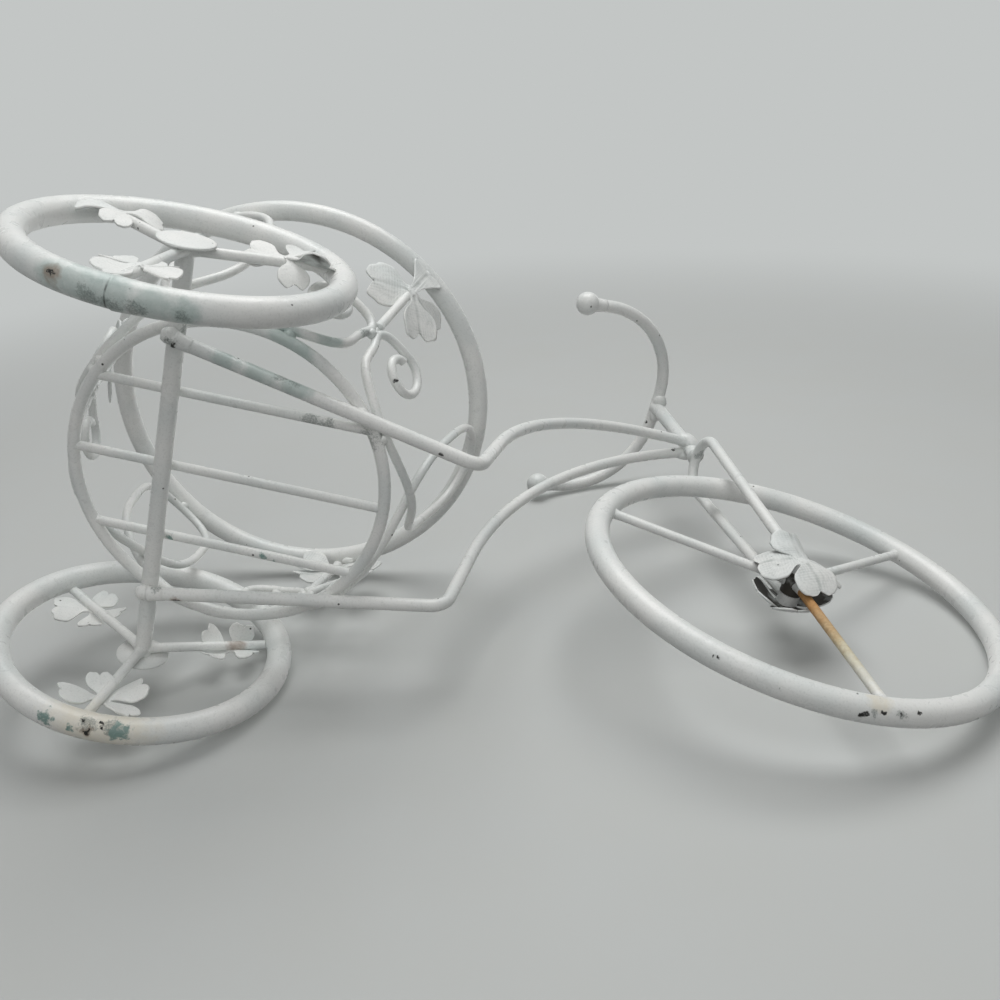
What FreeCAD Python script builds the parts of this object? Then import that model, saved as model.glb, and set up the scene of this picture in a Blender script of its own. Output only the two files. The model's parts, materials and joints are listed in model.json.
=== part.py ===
"""Tricycle plant stand of welded steel rod: a basket for a pot on two fixed rear wheels and a front wheel."""
import FreeCAD, Part
import math
import os

import Sketcher
from FreeCAD import Placement, Rotation, Vector

X_AXIS = Vector(1, 0, 0)
Y_AXIS = Vector(0, 1, 0)
Z_AXIS = Vector(0, 0, 1)

SPOKES_PER_WHEEL = 3
SCROLLS = 3
SCROLL_STEP = 360 / SCROLLS
CURL_STEPS = 9
CURL_START = -235

# Driving sizes: alias, value in millimetres or degrees, meaning.
SIZES = [
    ("rim_tube", 12.5, "outer diameter of the wheel rims' tube"),
    ("rear_rim_dia", 135, "rear rim, diameter of the tube's centre line"),
    ("front_rim_dia", 208, "front rim, diameter of the tube's centre line"),
    ("track", 200, "distance between the rear rims' middle planes"),
    ("wheelbase", 313.5, "rear axle to front axle, along the ground"),
    ("spoke_dia", 4.8, "spoke rod"),
    ("rear_dish", 3, "rear spokes outward of the rim's middle plane"),
    ("rear_spoke_turn", 25, "first rear spoke above the ground line"),
    ("front_spoke_turn", 42, "first front spoke above the ground line"),
    ("axle_dia", 8, "rear axle rod"),
    ("axle_overhang", 3.2, "rear axle past the spokes' plane"),
    ("hub_cap_dia", 25, "rear hub cap"),
    ("hub_cap_thick", 1.5, "rear hub cap sheet"),
    ("weld_gap", 0.05, "gap left between welded pieces"),
    ("rail_rod", 6.4, "frame rail rod"),
    ("rail_rear_spread", 131, "rails' centre lines apart, at the axle"),
    ("rail_tail", 2, "rail's end behind the axle's centre"),
    ("rail_knee_reach", 143, "axle to the rails' lower bend"),
    ("rail_knee_spread", 76, "rails apart at the lower bend"),
    ("rail_knee_bend", 10, "bend radius of the lower bend"),
    ("rail_arch_reach", 169, "axle to the corner of the upper arch"),
    ("rail_arch_spread", 40.5, "rails apart at the corner of the upper arch"),
    ("rail_arch_height", 151, "corner of the upper arch above the axle"),
    ("rail_arch_ease", 0.94, "share of the run to the stem that the upper arch's bend takes"),
    ("rail_joint", 163, "front axle to the rails' weld, along the stem"),
    ("basket_lean", 3, "basket's forward lean"),
    ("basket_setback", 29, "axle to the basket's middle"),
    ("basket_height", 118.5, "base ring to top ring"),
    ("base_ring_dia", 149.5, "base ring, diameter of the rod's centre line"),
    ("base_ring_rod", 5.8, "base ring rod"),
    ("base_rod_dia", 4.6, "rods across the base ring"),
    ("base_rod_pitch", 37.5, "spacing of the rods across the base ring"),
    ("base_rod_turn", 3.2, "rods' turn from straight ahead, front ends to the right"),
    ("top_ring_dia", 207, "top ring, diameter of the tube's centre line"),
    ("top_ring_tube", 10.5, "top ring tube"),
    ("scroll_wire", 4.4, "scroll wire"),
    ("scroll_turn", 3.5, "scrolls' turn round the basket, to the left"),
    ("scroll_gap", 0.3, "least gap between scroll wires side by side"),
    ("wheel_clearance", 1.3, "least gap between the scrolls and the rear rims"),
    ("scroll_joint_height", 39, "meeting of two scrolls above their lowest point"),
    ("scroll_low_turn", 37.5, "scroll's lowest point, from the middle of its loop"),
    ("scroll_cross_height", 20.5, "crossing of the loop above the scroll's lowest point"),
    ("loop_half_turn", 14.5, "half the loop's width, round the basket"),
    ("curl_reach", 21.5, "curl's middle, from the meeting of two scrolls"),
    ("curl_height", 36.5, "curl's middle above the scroll's lowest point"),
    ("curl_outer", 13, "curl's outer radius"),
    ("curl_inner", 7, "curl's inner radius"),
    ("post_dia", 4.6, "post rod"),
    ("post_length", 48.2, "posts above the meetings of the scrolls"),
    ("head_rake", 13.7, "stem's lean from upright"),
    ("stem_dia", 9, "stem rod"),
    ("stem_length", 77, "stem, from the fork's crown to the handlebar"),
    ("bar_rod", 8, "handlebar rod"),
    ("bar_half_width", 66, "handlebar's middle to its straight ends"),
    ("bar_reach", 68, "handlebar's middle to the grips' flats, along the bar's plane"),
    ("bar_bend", 58, "handlebar's bend radius"),
    ("bar_droop", 24, "fall of the handlebar's plane to the rear"),
    ("grip_dia", 15, "ball at the handlebar's end"),
    ("fork_rod", 6.2, "fork rod"),
    ("fork_crown", 148, "front axle to the fork's crown"),
    ("fork_spread", 35, "fork legs apart at the crown"),
    ("fork_foot_spread", 19, "fork legs apart at the front axle"),
    ("fork_bend", 15.5, "bend radius of the fork's shoulders"),
    ("fork_eye_dia", 11, "boss at the fork leg's foot"),
    ("pin_dia", 5, "front axle pin"),
    ("pin_fit", 0.05, "running clearance round the front axle pin"),
    ("hub_dia", 11, "front hub"),
    ("hub_play", 0.3, "front hub's end play, each side"),
    ("leaf_thick", 1, "clover sheet"),
    ("leaf_fold_radius", 5, "clover's flat middle"),
    ("leaf_neck", 5, "leaf's width where it leaves the clover's middle"),
    ("wheel_leaf_reach", 20, "wheel clover, middle to leaf tip"),
    ("wheel_leaf_width", 15.5, "wheel clover's leaf"),
    ("wheel_leaf_fold", 12, "fold of the wheel clover's leaves"),
    ("wheel_clover_reach", 43.5, "rear hub to a wheel clover"),
    ("basket_leaf_reach", 25, "basket clover, middle to leaf tip"),
    ("basket_leaf_width", 20, "basket clover's leaf"),
    ("basket_clover_drop", 27, "top ring's middle down to a basket clover"),
    ("front_leaf_reach", 26, "front clover, middle to leaf tip"),
    ("front_leaf_width", 20, "front clover's leaf"),
    ("front_leaf_fold", 25, "fold of the front clover's leaves"),
]

doc = FreeCAD.newDocument("tricycle_plant_stand")
sheet = doc.addObject("Spreadsheet::Sheet", "Sizes")
for row, (alias, value, meaning) in enumerate(SIZES, start=1):
    sheet.set(f"A{row}", meaning)
    sheet.set(f"B{row}", str(value))
    sheet.setAlias(f"B{row}", alias)
doc.recompute()

nodes = []


def size(alias):
    """Value of one driving size."""
    return float(getattr(sheet, alias))


def half(alias):
    return size(alias) / 2


def bind(thing, formulas):
    """Tie properties of an object to the sheet."""
    for name, formula in formulas.items():
        thing.setExpression(name, formula)


def keep(thing, label):
    """Name a finished sub-part."""
    thing.Label = label
    nodes.append(thing)
    return thing


def aim(start, direction):
    """Placement at a point with its Z axis along a direction."""
    return Placement(start, Rotation(Z_AXIS, direction))


def cylinder(name, start, direction, radius, height):
    """Cylinder along a direction, with its sizes as formulas of the sheet."""
    rod = doc.addObject("Part::Cylinder", name)
    bind(rod, {"Radius": radius, "Height": height})
    rod.Placement = aim(start, direction)
    return rod


def torus(name, centre, axis, radius, tube_radius):
    """Ring about an axis, with its sizes as formulas of the sheet."""
    ring = doc.addObject("Part::Torus", name)
    bind(ring, {"Radius1": radius, "Radius2": tube_radius})
    ring.Placement = aim(centre, axis)
    return ring


def compound(name, pieces):
    group = doc.addObject("Part::Compound", name)
    group.Links = pieces
    return group


def cut(name, base, tool):
    trimmed = doc.addObject("Part::Cut", name)
    trimmed.Base = base
    trimmed.Tool = tool
    return trimmed


def bent_path(points, radii):
    """Wire of straight runs joined by tangent arcs, one radius for each inner point."""
    edges = []
    last = points[0]
    for index, radius in enumerate(radii, start=1):
        corner = points[index]
        arriving = (corner - points[index - 1]).normalize()
        leaving = (points[index + 1] - corner).normalize()
        half_turn = arriving.getAngle(leaving) / 2
        inward = (leaving - arriving).normalize()
        setback = radius * math.tan(half_turn)
        start = corner - arriving * setback
        bulge = corner + inward * (radius / math.cos(half_turn) - radius)
        end = corner + leaving * setback
        edges.append(Part.LineSegment(last, start).toShape())
        edges.append(Part.Arc(start, bulge, end).toShape())
        last = end
    edges.append(Part.LineSegment(last, points[-1]).toShape())
    return Part.Wire(edges)


def swept_rod(name, path, radius):
    """Round rod along a path; its section is tied to the sheet."""
    spine = doc.addObject("Part::Feature", f"{name}_path")
    spine.Shape = path
    section = doc.addObject("Part::Circle", f"{name}_section")
    bind(section, {"Radius": radius})
    first = path.OrderedEdges[0]
    section.Placement = aim(first.valueAt(first.FirstParameter), first.tangentAt(first.FirstParameter))
    rod = doc.addObject("Part::Sweep", name)
    rod.Sections = [section]
    rod.Spine = (spine, [])
    rod.Solid = True
    rod.Frenet = False
    return rod


def mirrored(point):
    """The same point on the other side of the middle plane."""
    return Vector(point.x, -point.y, point.z)


# Places that many pieces share. The origin is on the ground, below the middle of the stand's length.
rear_height = half("rear_rim_dia") + half("rim_tube")
front_height = half("front_rim_dia") + half("rim_tube")
middle = (size("wheelbase") + front_height - rear_height) / 2
axle_centre = Vector(-middle, 0, rear_height)
front_centre = Vector(size("wheelbase") - middle, 0, front_height)

head = Placement(front_centre, Rotation(Y_AXIS, -size("head_rake")))
basket = Placement(axle_centre, Rotation(Y_AXIS, size("basket_lean")))


def on_head(side, along, forward=0):
    """Point beside the steering line: sideways, up from the front axle, and forward."""
    return head.multVec(Vector(forward, side, along))


def on_basket(turn, radius, height):
    """Point of the leaning basket: round its axis, out from it, and up from the rear axle."""
    angle = math.radians(turn)
    spot = Vector(size("basket_setback") + radius * math.cos(angle), radius * math.sin(angle), height)
    return basket.multVec(spot)


def flat_sketch(body, name):
    """Empty sketch on a body's own XY plane."""
    sketch = body.newObject("Sketcher::SketchObject", name)
    plane = [feature for feature in body.Origin.OriginFeatures if feature.Role == "XY_Plane"][0]
    sketch.AttachmentSupport = [(plane, "")]
    sketch.MapMode = "FlatFace"
    return sketch


def circles(sketch, formulas):
    """Circles about the sketch's middle, their radii tied to the sheet."""
    for index, formula in enumerate(formulas):
        sketch.addGeometry(Part.Circle(Vector(), Z_AXIS, 1 + index), False)
        sketch.addConstraint(Sketcher.Constraint("Coincident", index, 3, -1, 1))
        radius = sketch.addConstraint(Sketcher.Constraint("Radius", index, 1 + index))
        sketch.setExpression(f"Constraints[{radius}]", formula)


def pad(body, name, sketch, length):
    feature = body.newObject("PartDesign::Pad", name)
    feature.Profile = sketch
    bind(feature, {"Length": length})
    return feature


def disc(label, place, radii, length):
    """Round plate or sleeve of given radii, padded up from its place."""
    body = doc.addObject("PartDesign::Body", label)
    outline = flat_sketch(body, f"{label}_outline")
    circles(outline, radii)
    pad(body, f"{label}_pad", outline, length)
    body.Placement = place
    return keep(body, label)


def leaf_outline(sketch, reach, width):
    """Heart-shaped leaf along X: straight flanks from the neck, two round lobes and a notch."""
    lobe = size(width) / 4
    neck = half("leaf_neck")
    root_x = -size("leaf_thick")
    centre_x = size(reach) - size("leaf_fold_radius") - lobe
    run = math.hypot(centre_x - root_x, lobe - neck)
    flank = math.atan2(lobe - neck, centre_x - root_x) + math.asin(lobe / run)
    swing = flank + math.pi / 2
    root = Vector(root_x, neck, 0)
    lobe_centre = Vector(centre_x, lobe, 0)
    touch = lobe_centre + Vector(math.cos(swing), math.sin(swing), 0) * lobe
    upper_lobe = Part.Circle(lobe_centre, Z_AXIS, lobe)
    lower_lobe = Part.Circle(mirrored(lobe_centre), Z_AXIS, lobe)
    outline = [
        Part.LineSegment(mirrored(root), root),
        Part.LineSegment(root, touch),
        Part.ArcOfCircle(upper_lobe, -math.pi / 2, swing),
        Part.ArcOfCircle(lower_lobe, -swing, math.pi / 2),
        Part.LineSegment(mirrored(touch), mirrored(root)),
    ]
    sketch.addGeometry(outline, False)
    joints = [(0, 2, 1, 1), (1, 2, 2, 2), (2, 1, 3, 2), (3, 1, 4, 1), (4, 2, 0, 1)]
    for joint in joints:
        sketch.addConstraint(Sketcher.Constraint("Coincident", *joint))
    for arc in (2, 3):
        radius = sketch.addConstraint(Sketcher.Constraint("Radius", arc, lobe))
        sketch.setExpression(f"Constraints[{radius}]", f"Sizes.{width} / 4")


def clover(label, place, reach, width, leaves):
    """Clover of sheet: a flat middle, and leaves that are each turned and folded back by their own angles."""
    body = doc.addObject("PartDesign::Body", label)
    middle_sketch = flat_sketch(body, f"{label}_middle")
    circles(middle_sketch, ["Sizes.leaf_fold_radius + Sizes.leaf_thick / 2"])
    pad(body, f"{label}_disc", middle_sketch, "Sizes.leaf_thick")
    for index, (turn, fold) in enumerate(leaves, start=1):
        spin = Rotation(Z_AXIS, turn)
        hinge = spin.multVec(Vector(size("leaf_fold_radius"), 0, 0))
        sketch = flat_sketch(body, f"{label}_outline_{index}")
        sketch.AttachmentOffset = Placement(hinge, spin.multiply(Rotation(Y_AXIS, fold)))
        leaf_outline(sketch, reach, width)
        pad(body, f"{label}_leaf_{index}", sketch, "Sizes.leaf_thick")
    body.Placement = place
    return keep(body, label)


def facing(seat, along, outward):
    """Placement with X along one direction and Z along another, square to it."""
    return Placement(seat, Rotation(along, Vector(), outward, "ZXY"))


def wheel(prefix, centre, spoke_centre, rim_dia, turn, hub_envelope):
    """Rim and spokes; each spoke is trimmed to the rim and to the hub. Gives the spokes' directions."""
    rim_radius = f"Sizes.{rim_dia} / 2"
    keep(torus(f"{prefix}_rim", centre, Y_AXIS, rim_radius, "Sizes.rim_tube / 2"), f"{prefix}_rim")
    rim_envelope = torus(
        f"{prefix}_rim_envelope", centre, Y_AXIS, rim_radius, "Sizes.rim_tube / 2 + Sizes.weld_gap"
    )
    trim = compound(f"{prefix}_spoke_trim", [rim_envelope, hub_envelope])
    directions = []
    for index in range(SPOKES_PER_WHEEL):
        angle = math.radians(turn + index * 360 / SPOKES_PER_WHEEL)
        direction = Vector(math.cos(angle), 0, math.sin(angle))
        label = f"{prefix}_spoke_{index + 1}"
        bar = cylinder(f"{label}_bar", spoke_centre, direction, "Sizes.spoke_dia / 2", rim_radius)
        keep(cut(f"{label}_trimmed", bar, trim), label)
        directions.append(direction)
    return directions


def rear_wheel(prefix, side):
    """Fixed rear wheel with its hub cap, and clovers on the outer side of its spokes."""
    outward = Y_AXIS * side
    centre = axle_centre + outward * half("track")
    spoke_centre = centre + outward * size("rear_dish")
    hub_envelope = cylinder(
        f"{prefix}_hub_envelope", axle_centre, outward, "Sizes.axle_dia / 2 + Sizes.weld_gap", "Sizes.track"
    )
    directions = wheel(prefix, centre, spoke_centre, "rear_rim_dia", size("rear_spoke_turn"), hub_envelope)
    cap_seat = spoke_centre + outward * (size("axle_overhang") + size("weld_gap"))
    disc(f"{prefix}_hub_cap", aim(cap_seat, outward), ["Sizes.hub_cap_dia / 2"], "Sizes.hub_cap_thick")
    fold = size("wheel_leaf_fold")
    leaves = [(turn, fold) for turn in (45, 135, 225, 315)]
    lift = half("spoke_dia") + size("weld_gap")
    for index, direction in enumerate(directions, start=1):
        seat = spoke_centre + direction * size("wheel_clover_reach") + outward * lift
        place = facing(seat, direction, outward)
        clover(f"{prefix}_clover_{index}", place, "wheel_leaf_reach", "wheel_leaf_width", leaves)


def rear_axle():
    reach = half("track") + size("rear_dish") + size("axle_overhang")
    axle = cylinder(
        "rear_axle_rod", axle_centre - Y_AXIS * reach, Y_AXIS,
        "Sizes.axle_dia / 2", "Sizes.track + 2 * (Sizes.rear_dish + Sizes.axle_overhang)",
    )
    keep(axle, "rear_axle")


def rail_points(side, knee_height):
    """Centre line of one rail: under the axle, to the knee, up over the arch and to the stem."""
    below_axle = half("axle_dia") + half("rail_rod") + size("weld_gap")
    rear = axle_centre + Vector(0, side * half("rail_rear_spread"), -below_axle)
    knee = axle_centre + Vector(size("rail_knee_reach"), side * half("rail_knee_spread"), knee_height)
    tail = rear - (knee - rear).normalize() * size("rail_tail")
    arch = axle_centre + Vector(
        size("rail_arch_reach"), side * half("rail_arch_spread"), size("rail_arch_height")
    )
    joint = on_head(side * (half("rail_rod") + size("weld_gap")), size("rail_joint"))
    return [tail, knee, arch, joint]


def seated_knee_height():
    """Height of the knee, from the axle, at which the rail just carries the base ring."""
    ring = Part.Circle(on_basket(0, 0, ring_seat), basket_axis, half("base_ring_dia")).toShape()
    wanted = half("base_ring_rod") + half("rail_rod") + size("weld_gap")
    low = -size("base_ring_dia")
    high = ring_seat
    for _ in range(50):
        knee_height = (low + high) / 2
        tail, knee = rail_points(1, knee_height)[:2]
        gap = Part.LineSegment(tail, knee).toShape().distToShape(ring)[0]
        if gap > wanted:
            low = knee_height
        else:
            high = knee_height
    return low


def arch_bend(points):
    """Bend radius of the upper arch that takes its share of the shorter run beside it."""
    rise = points[2] - points[1]
    onward = points[3] - points[2]
    run = min(rise.Length - size("rail_knee_bend"), onward.Length) * size("rail_arch_ease")
    return run / math.tan(rise.getAngle(onward) / 2)


def rails():
    """Two bent rods that carry the basket and join the axle to the stem."""
    knee_height = seated_knee_height()
    stem_envelope = cylinder(
        "stem_envelope", front_centre, head_axis,
        "Sizes.stem_dia / 2 + Sizes.weld_gap", "Sizes.fork_crown + Sizes.stem_length",
    )
    for label, side in (("left_rail", 1), ("right_rail", -1)):
        points = rail_points(side, knee_height)
        path = bent_path(points, [size("rail_knee_bend"), arch_bend(points)])
        rod = swept_rod(f"{label}_rod", path, "Sizes.rail_rod / 2")
        keep(cut(f"{label}_trimmed", rod, stem_envelope), label)


def basket_rings():
    """Base ring on the axle and rails, three rods across it, and the top ring."""
    base_centre = on_basket(0, 0, ring_seat)
    base_radius = "Sizes.base_ring_dia / 2"
    rod_radius = "Sizes.base_ring_rod / 2"
    keep(torus("base_ring_rod", base_centre, basket_axis, base_radius, rod_radius), "base_ring")
    grown = f"{rod_radius} + Sizes.weld_gap"
    envelope = torus("base_ring_envelope", base_centre, basket_axis, base_radius, grown)
    turn = Rotation(Z_AXIS, -size("base_rod_turn"))
    forward = basket.Rotation.multVec(turn.multVec(X_AXIS))
    leftward = basket.Rotation.multVec(turn.multVec(Y_AXIS))
    for label, place in (("left_base_rod", 1), ("middle_base_rod", 0), ("right_base_rod", -1)):
        aside = place * size("base_rod_pitch")
        half_chord = math.sqrt(half("base_ring_dia") ** 2 - aside ** 2)
        start = base_centre + leftward * aside - forward * half_chord
        chord = f"2 * sqrt(({base_radius})^2 - ({place} * Sizes.base_rod_pitch)^2)"
        bar = cylinder(f"{label}_bar", start, forward, "Sizes.base_rod_dia / 2", chord)
        keep(cut(f"{label}_trimmed", bar, envelope), label)
    top_centre = on_basket(0, 0, ring_seat + size("basket_height"))
    top = torus("top_ring_tube", top_centre, basket_axis, "Sizes.top_ring_dia / 2", "Sizes.top_ring_tube / 2")
    keep(top, "top_ring")


# The scrolls and posts lie on a cone between the rings. A scroll touches the base ring on its upper outer
# side and the top ring from below.
basket_axis = basket.Rotation.multVec(Z_AXIS)
head_axis = head.Rotation.multVec(Z_AXIS)
ring_seat = half("axle_dia") + half("base_ring_rod") + size("weld_gap")
scroll_seat = (half("base_ring_rod") + half("scroll_wire") + size("scroll_gap")) * math.sqrt(0.5)
cone_foot = Vector(half("base_ring_dia") + scroll_seat, 0, ring_seat + scroll_seat)
scroll_drop = half("top_ring_tube") + half("scroll_wire") + size("weld_gap")
cone_head = Vector(half("top_ring_dia"), 0, ring_seat + size("basket_height") - scroll_drop)
scroll_height = cone_head.z - cone_foot.z


def straight_radius(share):
    """Radius of the straight cone, at a share of the scrolls' height."""
    return cone_foot.x + share * (cone_head.x - cone_foot.x)


def waist():
    """How far the cone's middle is drawn in, so that the scrolls pass inside the rear rims."""
    rim_top = math.sqrt(half("rear_rim_dia") ** 2 - size("basket_setback") ** 2)
    share = (rim_top - cone_foot.z) / scroll_height
    room = half("track") - half("rim_tube") - half("scroll_wire") - size("wheel_clearance")
    return max(0, straight_radius(share) - room) / (share * (1 - share))


def cone_radius(height):
    """Radius of the cone, a height above the scrolls' lowest points."""
    share = height / scroll_height
    return straight_radius(share) - waist() * share * (1 - share)


def on_cone(turn, height, lift=0):
    """Point of the cone, a height above the scrolls' lowest points and lifted off to the outside."""
    return on_basket(turn, cone_radius(height) + lift, cone_foot.z + height)


# Drawn shape of a scroll. Flank: shares of the way from the meeting to the lowest point, and of the meeting's
# height. Belly: shares of the lowest point's turn and of the crossing's height, and the lift off the cone.
# Loop: shares of the loop's half width and of the scroll's height, and the lift.
FLANK = [(0.1, 1.12), (0, 1), (0.05, 0.8), (0.14, 0.4), (0.52, 0.12)]
BELLY = [(1, 0, 0), (0.45, 0.34, 0.5), (0, 1, 1)]
LOOP = [(0.63, 0.29, 0.4), (1, 0.65, 0), (0.7, 0.93, 0), (0, 1, 0)]


def half_scroll():
    """Half of a scroll, from its curl to the top of its loop: turn from the loop's middle, height, lift."""
    degrees_per_mm = math.degrees(1 / cone_radius(size("scroll_joint_height")))
    meeting = -SCROLL_STEP / 2 + (half("scroll_wire") + size("scroll_gap") / 2) * degrees_per_mm
    low = -size("scroll_low_turn")
    loop = size("loop_half_turn")
    joint_height = size("scroll_joint_height")
    cross_height = size("scroll_cross_height")
    points = []
    for step in range(CURL_STEPS + 1):
        share = step / CURL_STEPS
        angle = math.radians(CURL_START + 360 * share)
        radius = size("curl_inner") + share * (size("curl_outer") - size("curl_inner"))
        aside = size("curl_reach") + radius * math.cos(angle)
        points.append((meeting + aside * degrees_per_mm, size("curl_height") + radius * math.sin(angle), 0))
    for turn_share, height_share in FLANK:
        points.append((meeting + turn_share * (low - meeting), height_share * joint_height, 0))
    for turn_share, height_share, lift in BELLY:
        points.append((turn_share * low, height_share * cross_height, lift))
    for turn_share, height_share, lift in LOOP:
        points.append((turn_share * loop, height_share * scroll_height, lift))
    return points


def scroll_path(meridian):
    """One scroll's centre line as tangent arcs; where it crosses itself, one strand passes outside."""
    first = half_scroll()
    second = [(-turn, height, -lift) for turn, height, lift in reversed(first[:-1])]
    crossing = half("scroll_wire") + size("scroll_gap")
    points = [on_cone(meridian + turn, height, lift * crossing) for turn, height, lift in first + second]
    curve = Part.BSplineCurve()
    curve.interpolate(points)
    return Part.Wire([arc.toShape() for arc in curve.toBiArcs(size("weld_gap"))])


def scrolls():
    """Three scroll wires, each from meeting to meeting."""
    for label, steps in (("front_scroll", 0), ("left_scroll", 1), ("right_scroll", -1)):
        meridian = size("scroll_turn") + steps * SCROLL_STEP
        keep(swept_rod(f"{label}_wire", scroll_path(meridian), "Sizes.scroll_wire / 2"), label)


# Lower leaves of a basket clover: turn up from the side, and fold towards the basket.
BASKET_LEAVES = [(-16, 14), (-61, -4), (-130, -2)]


def posts():
    """Posts above the scrolls' meetings; a clover on each is tied to the top ring by its upper leaf."""
    lift = half("post_dia") + size("weld_gap")
    rise = size("basket_clover_drop") - size("leaf_fold_radius")
    touch = half("top_ring_tube") + size("weld_gap")
    upper_fold = math.degrees(math.atan2(lift, rise) - math.asin(touch / math.hypot(rise, lift)))
    leaves = [(90, upper_fold)] + BASKET_LEAVES
    for label, steps in (("left", 0.5), ("rear", 1.5), ("right", 2.5)):
        meridian = size("scroll_turn") + steps * SCROLL_STEP
        meeting = on_cone(meridian, size("scroll_joint_height"))
        ring_point = on_basket(meridian, half("top_ring_dia"), ring_seat + size("basket_height"))
        upward = (ring_point - meeting).normalize()
        aside = basket.Rotation.multVec(Rotation(Z_AXIS, meridian).multVec(Y_AXIS))
        outward = aside.cross(upward)
        clover_seat = ring_point - upward * size("basket_clover_drop")
        foot = clover_seat - upward * (size("post_length") - half("leaf_fold_radius"))
        post = cylinder(f"{label}_post_rod", foot, upward, "Sizes.post_dia / 2", "Sizes.post_length")
        keep(post, f"{label}_post")
        place = facing(clover_seat + outward * lift, aside, outward)
        clover(f"{label}_basket_clover", place, "basket_leaf_reach", "basket_leaf_width", leaves)


def fork():
    """Fork bent from one rod, with a bored boss at each foot."""
    foot = half("fork_foot_spread")
    corner = half("fork_spread")
    crown = size("fork_crown")
    points = [on_head(foot, 0), on_head(corner, crown), on_head(-corner, crown), on_head(-foot, 0)]
    rod = swept_rod("fork_rod", bent_path(points, [size("fork_bend")] * 2), "Sizes.fork_rod / 2")
    bosses = []
    for name, side in (("left_fork_boss", 1), ("right_fork_boss", -1)):
        start = front_centre + Y_AXIS * (side * foot - half("fork_rod"))
        bosses.append(cylinder(name, start, Y_AXIS, "Sizes.fork_eye_dia / 2", "Sizes.fork_rod"))
    blank = doc.addObject("Part::MultiFuse", "fork_blank")
    blank.Shapes = [rod] + bosses
    bore = cylinder(
        "fork_bore", front_centre - Y_AXIS * size("fork_foot_spread"), Y_AXIS,
        "Sizes.pin_dia / 2 + Sizes.pin_fit", "2 * Sizes.fork_foot_spread",
    )
    keep(cut("fork_bored", blank, bore), "fork")


def front_wheel():
    """Front wheel that turns on a pin between the fork's feet, and the clovers that cap the feet."""
    foot_width = size("fork_foot_spread") + size("fork_rod")
    pin = cylinder(
        "front_axle_pin", front_centre - Y_AXIS * (foot_width / 2), Y_AXIS,
        "Sizes.pin_dia / 2", "Sizes.fork_foot_spread + Sizes.fork_rod",
    )
    keep(pin, "front_axle")
    hub_half = half("fork_foot_spread") - half("fork_rod") - size("hub_play")
    disc(
        "front_hub", aim(front_centre - Y_AXIS * hub_half, Y_AXIS),
        ["Sizes.hub_dia / 2", "Sizes.pin_dia / 2 + Sizes.pin_fit"],
        "Sizes.fork_foot_spread - Sizes.fork_rod - 2 * Sizes.hub_play",
    )
    hub_envelope = cylinder(
        "front_hub_envelope", front_centre - Y_AXIS * hub_half, Y_AXIS,
        "Sizes.hub_dia / 2 + Sizes.weld_gap", "Sizes.fork_foot_spread",
    )
    wheel("front", front_centre, front_centre, "front_rim_dia", size("front_spoke_turn"), hub_envelope)
    leg_slope = (half("fork_spread") - half("fork_foot_spread")) / size("fork_crown")
    lift = foot_width / 2 + leg_slope * size("leaf_fold_radius") + 2 * size("weld_gap")
    fold = size("front_leaf_fold")
    leaves = [(0, -math.degrees(math.atan(leg_slope))), (90, fold), (180, fold), (270, fold)]
    for label, side in (("left_front_clover", 1), ("right_front_clover", -1)):
        outward = Y_AXIS * side
        place = facing(front_centre + outward * lift, head_axis, outward)
        clover(label, place, "front_leaf_reach", "front_leaf_width", leaves)


def steering():
    """Stem on the fork's crown, the handlebar on the stem and a ball on each of its ends."""
    stem_foot = size("fork_crown") + half("fork_rod") + size("weld_gap")
    stem = cylinder("stem_rod", on_head(0, stem_foot), head_axis, "Sizes.stem_dia / 2", "Sizes.stem_length")
    keep(stem, "stem")
    bar_middle = on_head(0, stem_foot + size("stem_length") + size("weld_gap") + half("bar_rod"))
    rearward = Rotation(Y_AXIS, -size("bar_droop")).multVec(-X_AXIS)
    left = bar_middle + Y_AXIS * size("bar_half_width")
    right = bar_middle - Y_AXIS * size("bar_half_width")
    reach = rearward * size("bar_reach")
    path = bent_path([left + reach, left, right, right + reach], [size("bar_bend")] * 2)
    keep(swept_rod("handlebar_rod", path, "Sizes.bar_rod / 2"), "handlebar")
    flat = math.sqrt(half("grip_dia") ** 2 - half("bar_rod") ** 2)
    for label, corner in (("left_grip", left), ("right_grip", right)):
        ball = doc.addObject("Part::Sphere", f"{label}_ball")
        bind(ball, {"Radius": "Sizes.grip_dia / 2", "Angle1": "-acos(Sizes.bar_rod / Sizes.grip_dia)"})
        ball.Placement = aim(corner + reach + rearward * (flat + size("weld_gap")), rearward)
        keep(ball, label)


rear_wheel("rear_left", 1)
rear_wheel("rear_right", -1)
rear_axle()
rails()
basket_rings()
scrolls()
posts()
fork()
front_wheel()
steering()
doc.recompute()

for thing in doc.Objects:
    if "Invalid" in thing.State or "Error" in thing.State:
        raise RuntimeError(f"{thing.Label} failed: {thing.getStatusString()}")
for node in nodes:
    if node.Shape.isNull() or not node.Shape.isValid() or len(node.Shape.Solids) != 1:
        raise RuntimeError(f"{node.Label} is not one valid solid")

os.makedirs("parts", exist_ok=True)
for node in nodes:
    node.Shape.exportStep(f"parts/{node.Label}.step")
print(len(nodes), "nodes written")
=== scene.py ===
"""Tricycle plant stand: pressed clovers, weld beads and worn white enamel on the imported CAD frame."""

import json
import math

import bpy
from bpy.props import FloatProperty, FloatVectorProperty, PointerProperty
from mathutils import Matrix, Vector, noise
from mathutils.bvhtree import BVHTree

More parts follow.
